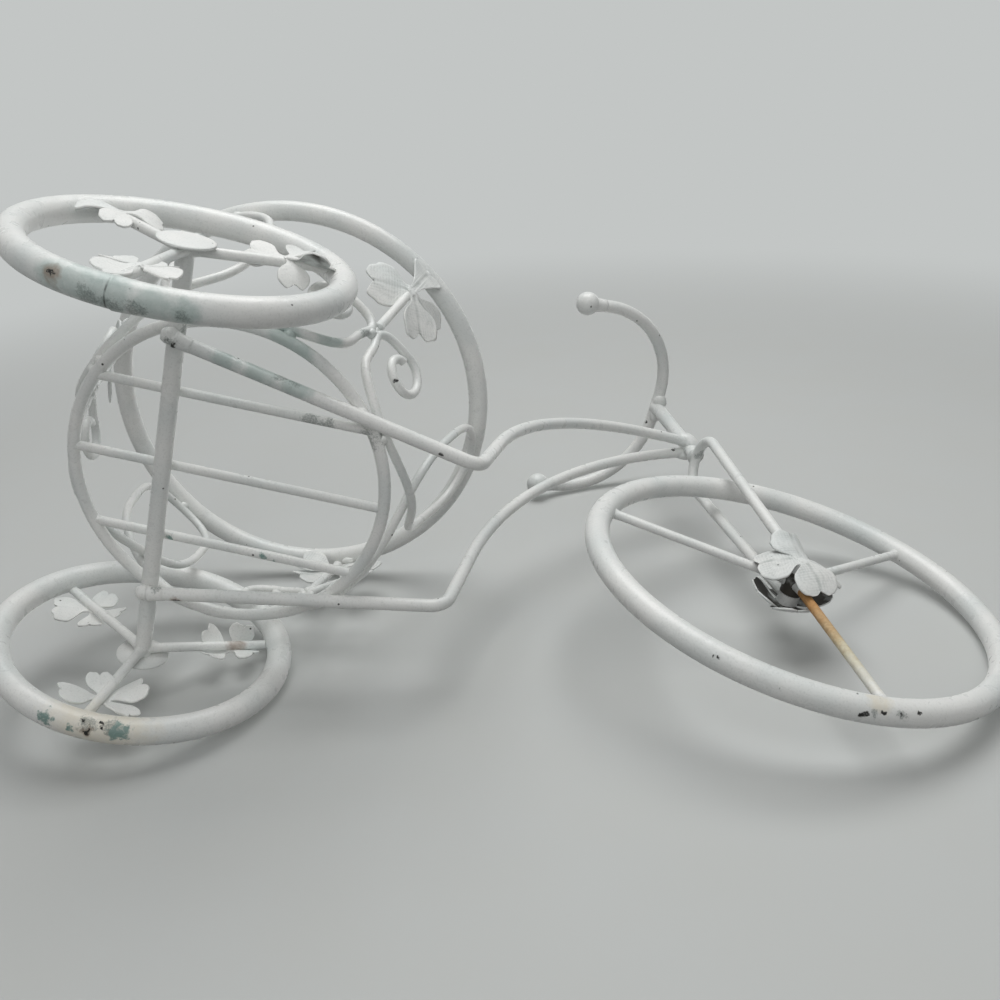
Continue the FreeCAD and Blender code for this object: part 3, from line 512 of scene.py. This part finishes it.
def smoothed(knots, steps):
    """Points on a smooth line through the knots, so many to each span."""
    ends = [knots[0], *knots, knots[-1]]
    line = []
    for a, b, c, d in zip(ends, ends[1:], ends[2:], ends[3:]):
        for step in range(steps):
            t = step / steps
            line.append(0.5 * (2 * b + (c - a) * t + (2 * a - 5 * b + 4 * c - d) * t ** 2
                               + (3 * b - a - 3 * c + d) * t ** 3))
    return line + [knots[-1]]


def leaf(kind, turn, reach_mm, fold, curl, roll, cup, hatched, sizes):
    """One pressed leaf in its clover's axes: points, faces, each face's side, and each point's depth in a groove."""
    share_wide, outline = OUTLINES[kind]
    veins = smoothed([Vector(knot) for knot in outline], VEIN_STEPS)
    columns = 2 * LEAF_COLUMNS + 1
    reach = reach_mm * MM
    width = share_wide * reach
    widen = share_wide / (2 * HALF_WIDTH)
    start = math.radians(fold)
    bend = math.radians(curl if abs(curl) > 0.1 else 0.1) / reach
    spin = Matrix.Rotation(math.radians(turn), 3, "Z")
    phase = 2 * math.pi / sizes.vein_spacing
    tops, backs, grooves = [], [], []
    for root, along, across in veins:
        for column in range(columns):
            share = column / LEAF_COLUMNS - 1
            # The pressed edge is ragged, and each leaf in its own way.
            ragged = 1 + LEAF_RAGGED * noise.noise(Vector((along * 6, across * 7 * share, turn * 0.37 + curl)))
            x = (root + (along * ragged - root) * abs(share)) * reach
            y = across * share * reach * widen * ragged
            inside = min(1, (1 - abs(share)) * 5, (1.02 - x / reach) * 8)
            # Hatching runs aslant both ways. Plain leaves have faint ripples along their veins.
            if hatched:
                relief = math.cos(phase * (x + y) * 0.7) * math.cos(phase * (x - y) * 0.7)
            else:
                relief = 0.15 * math.cos(phase * root * reach * 1.3)
            rib = math.exp(-(y / RIB_WIDTH) ** 2) * min(1, max(0, inside)) * (1 if hatched else 0.4)
            height = sizes.vein_height * (0.5 * relief * inside - 0.9 * rib)
            height += cup * MM * (2 * y / width) ** 2
            # The roll grows in past the neck.
            grown = min(1, max(0, (x / reach - 0.08) / 0.37))
            twist = math.radians(roll) * grown * grown * (3 - 2 * grown)
            angle = start + bend * x
            middle_x = (math.sin(angle) - math.sin(start)) / bend
            middle_z = -(math.cos(start) - math.cos(angle)) / bend
            normal = Vector((math.sin(angle), 0, math.cos(angle)))
            side = Vector((0, 1, 0)) * math.cos(twist) + normal * math.sin(twist)
            normal = normal * math.cos(twist) - Vector((0, 1, 0)) * math.sin(twist)
            top = Vector((middle_x, 0, middle_z)) + side * y + normal * height
            tops.append(spin @ top)
            backs.append(spin @ (top - normal * sizes.sheet))
            grooves.append(min(1, max(0, (0.5 - 0.5 * relief) * inside * 0.8 + rib)) * (1 if hatched else 0.2))
    rows = len(veins)
    count = len(tops)
    faces, kinds = [], []
    for row in range(rows - 1):
        for column in range(columns - 1):
            a = row * columns + column
            quad = (a, a + columns, a + columns + 1, a + 1)
            faces.append(quad)
            faces.append(tuple(i + count for i in reversed(quad)))
            kinds += [0, 1]
    border = list(range(columns))
    border += [r * columns + columns - 1 for r in range(1, rows)]
    border += [(rows - 1) * columns + c for c in range(columns - 2, -1, -1)]
    border += [r * columns for r in range(rows - 2, 0, -1)]
    for a, b in zip(border, border[1:] + border[:1]):
        faces.append((a, b, b + count, a + count))
        kinds.append(0)
    return tops + backs, faces, kinds, grooves + grooves


def bands(first, rings, columns, turned=False):
    """Quads between neighbouring rings of points, from the first point's number on."""
    quads = []
    for ring in range(rings):
        for column in range(columns):
            a = first + ring * columns + column
            b = first + ring * columns + (column + 1) % columns
            quads.append((a, a + columns, b + columns, b) if turned else (a, b, b + columns, a + columns))
    return quads


def button(radius, rise, thickness, segments=28, rings=5):
    """A domed disc in its own axes, closed at the back."""
    profile = [(radius * math.sin(0.5 * math.pi * r / rings), rise * math.cos(0.5 * math.pi * r / rings))
               for r in range(1, rings + 1)]
    profile.append((radius, -thickness))
    points = [Vector((0, 0, rise))]
    for r, z in profile:
        points += [Vector((r * math.cos(2 * math.pi * s / segments), r * math.sin(2 * math.pi * s / segments), z))
                   for s in range(segments)]
    points.append(Vector((0, 0, -thickness)))
    faces = [(0, 1 + s, 1 + (s + 1) % segments) for s in range(segments)]
    faces += bands(1, len(profile) - 1, segments, turned=True)
    last = 1 + (len(profile) - 1) * segments
    faces += [(last + s, len(points) - 1, last + (s + 1) % segments) for s in range(segments)]
    return points, faces


def clover(node, seat, along, outward, leaves, disc, hatched, back):
    """A four-leaf clover of pressed sheet in place of its CAD node."""
    sizes = bpy.context.scene.stand_sizes
    axes = Matrix((along, outward.cross(along), outward)).transposed()
    points, faces, kinds, grooves = [], [], [], []
    for layer, shape in enumerate(leaves):
        made = leaf(*shape, hatched, sizes)
        faces += [tuple(i + len(points) for i in face) for face in made[1]]
        # The leaves are cut separately and lie a little over each other at the middle.
        points += [p + Vector((0, 0, LEAF_LAYER * layer)) for p in made[0]]
        kinds += made[2]
        grooves += made[3]
    made = button(disc, 0.12 * disc, sizes.sheet * 0.9)
    faces += [tuple(i + len(points) for i in face) for face in made[1]]
    points += made[0]
    kinds += [0] * len(made[1])
    grooves += [0.0] * len(made[0])
    placed = [seat + axes @ p for p in points]
    shown = piece(node + "_pressed", placed, faces, NODES[node]["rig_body"], "painted_sheet",
                  ["sheet", back], kinds, grooves)
    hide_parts(node)


def lump(shape, at, axes, seed):
    """Adds a rounded weld lump to a shape: a point, its half axes in mm, and a seed for its unevenness."""
    points, faces = shape
    rows, columns = 9, 14
    first = len(points)
    for row in range(rows + 1):
        polar = math.pi * row / rows
        for column in range(columns):
            turn = 2 * math.pi * column / columns
            way = Vector((math.sin(polar) * math.cos(turn), math.sin(polar) * math.sin(turn), math.cos(polar)))
            swell = 1 + LUMP_UNEVEN * noise.noise(way * 1.6 + Vector((seed * 3.7, seed * 1.3, 0)))
            points.append(at + (axes[0] * way.x + axes[1] * way.y + axes[2] * way.z) * swell * MM)
    faces += bands(first, rows, columns, turned=True)


def collar(shape, at, along, kind, seed):
    """Adds a weld fillet round a rod's end: it flares at the point and dies out along the rod."""
    points, faces = shape
    radius, flare, length = FILLETS[kind]
    flare *= bpy.context.scene.stand_sizes.bead
    side = along.orthogonal().normalized()
    across = along.cross(side)
    rings, columns = 7, 18
    first = len(points)
    for ring in range(rings + 1):
        share = ring / rings
        for column in range(columns):
            turn = 2 * math.pi * column / columns
            way = side * math.cos(turn) + across * math.sin(turn)
            uneven = 1 + FILLET_UNEVEN * noise.noise(way * 1.4 + Vector((seed * 2.9, share * 2, seed * 1.1)))
            spread = (radius + 0.05) * MM + flare * (1 - share) ** 2 * uneven
            points.append(at + along * length * MM * (share * 1.3 - 0.3) + way * spread)
    faces += bands(first, rings, columns)
    faces.append(tuple(first + c for c in reversed(range(columns))))
    faces.append(tuple(first + rings * columns + c for c in range(columns)))


def collars(shape, rod, kind, seeds):
    """Adds a weld fillet at each end of a straight CAD rod."""
    first, second = rod_ends(rod)
    along = (second - first).normalized()
    collar(shape, first, along, kind, seeds[0])
    collar(shape, second, -along, kind, seeds[1])


def basket_seats():
    """For each post of the basket: its side, the ring point above it, and its up, sideways and outward directions."""
    centre = middle("top_ring")
    axis = (centre - middle("base_ring")).normalized()
    low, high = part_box("top_ring")
    radius = (high.y - low.y) / 2 - TOP_RING_RADIUS
    for side in ("left", "rear", "right"):
        foot = middle(side + "_post")
        out = foot - centre
        out -= axis * out.dot(axis)
        ring = centre + out.normalized() * radius
        up = (ring - foot).normalized()
        aside = axis.cross(out).normalized()
        yield side, ring, up, aside, aside.cross(up)


class PLANTSTAND_OT_rods(bpy.types.Operator):
    """Paint the CAD rods, rims, rings and fork with their worn enamel"""

    bl_idname = "plantstand.rods"
    bl_label = "Paint rods and rims"

    def execute(self, context):
        # The front hub takes the bare back finish, whose dark paints the shade inside the clover shell closed round
        # it.
        special = {"front_spoke_3": "rusted", "front_axle": "pin", "front_hub": "inside"}
        for name, node in NODES.items():
            node.data.materials.clear()
            node.data.materials.append(finish_of(special.get(name, "rod")))
        return {"FINISHED"}


class PLANTSTAND_OT_wheel_clovers(bpy.types.Operator):
    """Press the six clovers on the rear wheels' spokes"""

    bl_idname = "plantstand.wheel_clovers"
    bl_label = "Rear wheel clovers"

    def execute(self, context):
        for name, leaves in WHEEL_LEAVES.items():
            spoke = name.replace("clover", "spoke")
            rim = name[:name.index("_clover")] + "_rim"
            hub = Vector((middle(rim).x, middle(spoke).y, middle(rim).z))
            along = (middle(spoke) - hub).normalized()
            outward = Vector((0, math.copysign(1, hub.y), 0))
            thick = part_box(spoke)[1].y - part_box(spoke)[0].y
            seat = hub + along * SPOKE_SEAT + outward * (thick / 2 + 0.1 * MM)
            if max((end - hub).length for end in rod_ends(spoke)) < SPOKE_SEAT:
                raise RuntimeError(spoke + " is too short for its clover")
            # The right wheel's clovers get dark oversprayed backs that partly paint the shade in their curled leaves;
            # the left wheel's backs stay white.
            clover(name, seat, along, outward, [("lobed", *shape) for shape in leaves], WHEEL_DISC, False,
                   "dark_back_and_shade" if hub.y < 0 else "sheet")
        return {"FINISHED"}


class PLANTSTAND_OT_basket_clovers(bpy.types.Operator):
    """Press the three clovers that hang from the basket's top ring"""

    bl_idname = "plantstand.basket_clovers"
    bl_label = "Basket clovers"

    def execute(self, context):
        for side, ring, up, aside, outward in basket_seats():
            seat = ring - up * BASKET_DROP + outward * BASKET_OUT
            clover(side + "_basket_clover", seat, aside, outward, BASKET_LEAVES[side], BASKET_DISC, True, "sheet")
        return {"FINISHED"}


class PLANTSTAND_OT_front_clovers(bpy.types.Operator):
    """Press the two clovers that close round the front hub"""

    bl_idname = "plantstand.front_clovers"
    bl_label = "Front hub clovers"

    def execute(self, context):
        hub = middle("front_rim")
        head = middle("stem") - hub
        head.y = 0
        for side, sign in SIDES.items():
            node = side + "_front_clover"
            outward = Vector((0, sign, 0))
            # Their backs face the hub: bare steel, darkened further as painted shade inside the closed shell.
            clover(node, hub + outward * FRONT_SEAT, head.normalized(), outward, FRONT_LEAVES, FRONT_DISC, True,
                   "inside")
        return {"FINISHED"}


class PLANTSTAND_OT_hub_caps(bpy.types.Operator):
    """Spin the two domed caps on the rear axle's ends"""

    bl_idname = "plantstand.hub_caps"
    bl_label = "Rear hub caps"

    def execute(self, context):
        sizes = context.scene.stand_sizes
        for side, sign in SIDES.items():
            node = "rear_" + side + "_hub_cap"
            low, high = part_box(node)
            outward = Vector((0, sign, 0))
            axes = Matrix((Vector((1, 0, 0)), outward.cross(Vector((1, 0, 0))), outward)).transposed()
            points, faces = button((high.x - low.x) / 2, sizes.cap_dome, CAP_SHEET, segments=48, rings=10)
            face = Vector((middle(node).x, sign * max(abs(low.y), abs(high.y)) - sign * sizes.cap_dome * 0.6,
                           middle(node).z))
            made = piece(node + "_domed", [face + axes @ p for p in points], faces, "frame", "painted_sheet",
                         ["sheet"])
            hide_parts(node)
        return {"FINISHED"}


class PLANTSTAND_OT_welds(bpy.types.Operator):
    """Lay the weld beads where rods, rings and rims meet"""

    bl_idname = "plantstand.welds"
    bl_label = "Weld beads"

    def execute(self, context):
        wheels = {"rear_left": "frame", "rear_right": "frame", "front": "front_wheel"}
        for seed, (wheel, body) in enumerate(wheels.items()):
            shape = ([], [])
            hub = middle(wheel + "_rim")
            for number in (1, 2, 3):
                ends = rod_ends(f"{wheel}_spoke_{number}")
                inner, outer = sorted(ends, key=lambda p: (p - hub).length)
                along = (outer - inner).normalized()
                collar(shape, inner, along, "hub", seed * 9 + number)
                if wheel == "front":
                    collar(shape, outer, -along, "rim", seed * 9 + number + 4)
            piece(wheel + "_wheel_welds", *shape, body, "painted_rod", ["rod"])
        self.basket()
        self.chassis()
        return {"FINISHED"}

    def basket(self):
        """Welds of the basket: rods, posts, scrolls, rails under its ring and the clovers' tops."""
        shape = ([], [])
        for seed, post in enumerate(["left_post", "rear_post", "right_post"]):
            collars(shape, post, "post", (seed, seed + 7))
        scrolls = ["front_scroll", "left_scroll", "right_scroll"]
        spots = [(spot, LUMPS["scroll"]) for scroll in scrolls for ring in ("base_ring", "top_ring")
                 for spot in contacts(scroll, ring)]
        spots += [(spot, LUMPS["rail"]) for side in SIDES for spot in contacts("base_ring", side + "_rail")]
        spots += [(spot, LUMPS["base_rod"]) for rod in ("left_base_rod", "middle_base_rod", "right_base_rod")
                  for spot in contacts(rod, "base_ring")]
        meetings = [spot for i in range(3) for spot in contacts(scrolls[i], scrolls[(i + 1) % 3])]
        spots += [(spot + Vector((dx, dy, dz)) * MM, LUMPS["meeting"]) for spot in meetings
                  for dx, dy, dz in ((0, 0, 2.6), (0.6, 0.9, -0.4), (-1.1, -0.5, -2.8))]
        for spot, size in spots:
            lump(shape, spot, Matrix.Diagonal((size, size, size)), spot.x * 90 + spot.z * 70)
        for _, ring, up, aside, outward in basket_seats():
            lump(shape, ring - up * 4.5 * MM + outward * 2.5 * MM, (aside * 4.2, up * 2.6, outward * 2.4),
                 ring.y * 70)
        piece("basket_welds", *shape, "frame", "painted_rod", ["rod"])

    def chassis(self):
        """Welds of the rails at the axle and stem, of the stem at fork and handlebar, and of the grips."""
        shape = ([], [])
        axle = middle("rear_axle")
        for side, sign in SIDES.items():
            points = [v.co for v in NODES[side + "_rail"].data.vertices]
            tail_x = min(p.x for p in points)
            ring = [p for p in points if p.x - tail_x < 2 * MM]
            tail = sum(ring, Vector()) / len(ring)
            lump(shape, Vector((axle.x - 0.5 * MM, tail.y, tail.z + 0.9 * MM)),
                 Matrix.Diagonal((4.6, 3.9, 3.9)), sign)
            collar(shape, Vector((axle.x + 3.4 * MM, tail.y - sign * 0.9 * MM, tail.z)),
                   Vector((0.97, -0.22 * sign, 0)).normalized(), "rail", sign)
            nose_x = max(p.x for p in points)
            ring = [p for p in points if nose_x - p.x < 3 * MM]
            nose = sum(ring, Vector()) / len(ring)
            lump(shape, nose + Vector((-1.0 * MM, -sign * 0.8 * MM, 0)),
                 Matrix(((7.5, -1.5 * sign, -2), (0, 4.3, 0), (1.2, 0, 5))), sign * 2)
            crown = rod_ends("stem")[0]
            lump(shape, crown + Vector((0.3 * MM, sign * 4.2 * MM, 0.6 * MM)),
                 Matrix(((4.5, 0, 0), (0, 6, -1.6 * sign), (0, 0, 4.6))), sign * 3)
            grip = middle(side + "_grip")
            near = [v.co for v in NODES["handlebar"].data.vertices if (v.co - grip).length < 14 * MM]
            along = (sum(near, Vector()) / len(near) - grip).normalized()
            collar(shape, grip + along * 6.2 * MM, along, "grip", sign + 5)
        collars(shape, "stem", "stem", (31, 32))
        piece("chassis_welds", *shape, "frame", "painted_rod", ["rod"])


class PLANTSTAND_OT_rim_seam(bpy.types.Operator):
    """Close the right rear rim at its butt joint, where one tube end stands a little proud"""

    bl_idname = "plantstand.rim_seam"
    bl_label = "Rim seam"

    def execute(self, context):
        hub = middle("rear_right_rim")
        low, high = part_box("rear_right_rim")
        tube = (high.y - low.y) / 2
        ring = (high.x - low.x) / 2 - tube
        first = math.atan2(SEAM.z - hub.z, SEAM.x - hub.x)
        steps, columns = 10, 32
        points = []
        for step in range(steps + 1):
            turn = first + SEAM_LENGTH / ring * step / steps
            rise = SEAM_RISE * (1 - step / steps) ** 1.5 + 0.02 * MM
            if step == 0:
                rise = -0.3 * MM
            out = Vector((math.cos(turn), 0, math.sin(turn)))
            for column in range(columns):
                round_turn = 2 * math.pi * column / columns
                way = out * math.cos(round_turn) + Vector((0, 1, 0)) * math.sin(round_turn)
                points.append(hub + out * ring + way * (tube + rise))
        piece("rear_right_rim_seam", points, bands(0, steps, columns), "frame", "painted_rod", ["rod"])
        return {"FINISHED"}


class PLANTSTAND_OT_stage(bpy.types.Operator):
    """Set the floor, soft light, background and camera"""

    bl_idname = "plantstand.stage"
    bl_label = "Stage"

    def execute(self, context):
        scene = context.scene
        scene.view_settings.view_transform = "Standard"
        self.floors(scene)
        self.lamps(scene)
        self.background(scene)
        self.camera(scene)
        return {"FINISHED"}

    def floors(self, scene):
        """The floor under the standing stand, and the one it lies against on its left side."""
        colours = scene.stand_colours
        # Matt paper gives an even pale ground with a faint cloud in it, which fades into the background.
        material, tree, place = new_finish("matt paper sweep")
        tree.nodes.remove(tree.nodes["Principled BSDF"])
        paper = add(tree, "TexNoise", {"Vector": place, "Scale": 1 / (60 * MM), "Detail": 3}).outputs[0]
        tone = add(tree, "Mix", {0: paper, 6: colours.floor, 7: colours.backdrop}, data_type="RGBA").outputs[2]
        lit = add(tree, "BsdfDiffuse", {"Color": tone}).outputs[0]
        beyond = add(tree, "Emission", {"Color": colours.backdrop}).outputs[0]
        away = add(tree, "VectorMath", {0: place}, operation="LENGTH").outputs["Value"]
        fade = add(tree, "MapRange", {"Value": away, "From Min": FLOOR_FADE[0], "From Max": FLOOR_FADE[1]},
                   interpolation_type="SMOOTHSTEP").outputs[0]
        sweep = add(tree, "MixShader", {0: fade, 1: lit, 2: beyond}).outputs[0]
        # Each floor shows from its upper side. Above the ground, the lying floor shows only through the standing one
        # from below, so that it doesn't stand beside the stand as a wall.
        spot = add(tree, "NewGeometry")
        height = add(tree, "SeparateXYZ", {0: spot.outputs["Position"]}).outputs[2]
        low = add(tree, "Math", {0: height, 1: 0.0}, operation="LESS_THAN").outputs[0]
        seen = add(tree, "Math", {0: low, 1: add(tree, "LightPath").outputs["Transparent Depth"]},
                   use_clamp=True).outputs[0]
        seen = add(tree, "Math", {0: seen, 1: spot.outputs["Backfacing"]}, operation="SUBTRACT",
                   use_clamp=True).outputs[0]
        clear = add(tree, "BsdfTransparent").outputs[0]
        shown = add(tree, "MixShader", {0: seen, 1: clear, 2: sweep}).outputs[0]
        tree.links.new(shown, tree.nodes["Material Output"].inputs["Surface"])
        places = {"standing_floor": (Vector((0, 0, CAD_BOX[0].z - 0.3 * MM)), Vector((0, 0, 1))),
                  "lying_floor": (CENTRE - LYING_UP * (CENTRE.dot(LYING_UP) + LYING_AWAY), LYING_UP)}
        for name, (at, up) in places.items():
            mesh = bpy.data.meshes.new(name)
            corners = [(-1, -1), (1, -1), (1, 1), (-1, 1)]
            mesh.from_pydata([(x * FLOOR_HALF, y * FLOOR_HALF, 0) for x, y in corners], [], [(0, 1, 2, 3)])
            mesh.materials.append(material)
            floor = bpy.data.objects.new(name, mesh)
            floor.matrix_world = Matrix.Translation(at) @ up.to_track_quat("Z", "Y").to_matrix().to_4x4()
            floor.visible_diffuse = False
            floor.visible_shadow = False
            scene.collection.objects.link(floor)

    def lamps(self, scene):
        """A broad soft key above the lying stand, a softer one by the camera, and a fill above its other side."""
        for name, way, size, power in LAMPS:
            data = bpy.data.lights.new(name, "AREA")
            data.size = size
            data.energy = power
            lamp = bpy.data.objects.new(name, data)
            lamp.location = CENTRE + way.normalized() * LAMP_AWAY
            lamp.rotation_euler = (-way).to_track_quat("-Z", "Y").to_euler()
            scene.collection.objects.link(lamp)

    def background(self, scene):
        """A pale background for the eye and for reflections, and even soft light for everything else."""
        colours = scene.stand_colours
        world = bpy.data.worlds.new("studio")
        world.use_nodes = True
        tree = world.node_tree
        path = add(tree, "LightPath")
        seen = add(tree, "Math", {0: path.outputs["Is Camera Ray"], 1: path.outputs["Is Glossy Ray"]}).outputs[0]
        seen = add(tree, "Math", {0: seen, 1: path.outputs["Is Transmission Ray"]}, use_clamp=True).outputs[0]
        soft = add(tree, "Background", {"Color": (1, 1, 1, 1), "Strength": SOFT_LIGHT}).outputs[0]
        pale = add(tree, "Background", {"Color": colours.backdrop, "Strength": 1.0}).outputs[0]
        both = add(tree, "MixShader", {0: seen, 1: soft, 2: pale}).outputs[0]
        tree.links.new(both, tree.nodes["World Output"].inputs["Surface"])
        scene.world = world

    def camera(self, scene):
        """The photograph's view, from below and to the right of the standing stand."""
        data = bpy.data.cameras.new("camera")
        data.lens = scene.stand_sizes.camera_lens
        data.sensor_width = CAMERA_SENSOR
        data.clip_start = 0.01
        camera = bpy.data.objects.new("camera", data)
        axes = Matrix((CAMERA_RIGHT, (-CAMERA_LOOK).cross(CAMERA_RIGHT), -CAMERA_LOOK)).transposed()
        camera.matrix_world = Matrix.Translation(CAMERA_AT) @ axes.to_4x4()
        scene.collection.objects.link(camera)
        scene.camera = camera


OPERATORS = [PLANTSTAND_OT_rods, PLANTSTAND_OT_wheel_clovers, PLANTSTAND_OT_basket_clovers,
             PLANTSTAND_OT_front_clovers, PLANTSTAND_OT_hub_caps, PLANTSTAND_OT_welds, PLANTSTAND_OT_rim_seam,
             PLANTSTAND_OT_stage]


class PLANTSTAND_PT_panel(bpy.types.Panel):
    """Lists the stand's sizes, colours and making steps"""

    bl_idname = "PLANTSTAND_PT_panel"
    bl_label = "Plant stand"
    bl_space_type = "VIEW_3D"
    bl_region_type = "UI"
    bl_category = "Plant stand"

    def draw(self, context):
        for group in (context.scene.stand_sizes, context.scene.stand_colours):
            for name in group.__annotations__:
                self.layout.prop(group, name)
        for operator in OPERATORS:
            self.layout.operator(operator.bl_idname)


CLASSES = [StandSizes, StandColours, *OPERATORS, PLANTSTAND_PT_panel]


def register():
    """Registers the classes and hangs the settings on the scene."""
    for cls in CLASSES:
        bpy.utils.register_class(cls)
    bpy.types.Scene.stand_sizes = PointerProperty(type=StandSizes)
    bpy.types.Scene.stand_colours = PointerProperty(type=StandColours)


def unregister():
    """Takes the settings and classes away again."""
    del bpy.types.Scene.stand_sizes
    del bpy.types.Scene.stand_colours
    for cls in reversed(CLASSES):
        bpy.utils.unregister_class(cls)


def main():
    register()
    bpy.ops.plantstand.rods()
    bpy.ops.plantstand.wheel_clovers()
    bpy.ops.plantstand.basket_clovers()
    bpy.ops.plantstand.front_clovers()
    bpy.ops.plantstand.hub_caps()
    bpy.ops.plantstand.welds()
    bpy.ops.plantstand.rim_seam()
    bpy.ops.plantstand.stage()


if __name__ == "__main__":
    main()
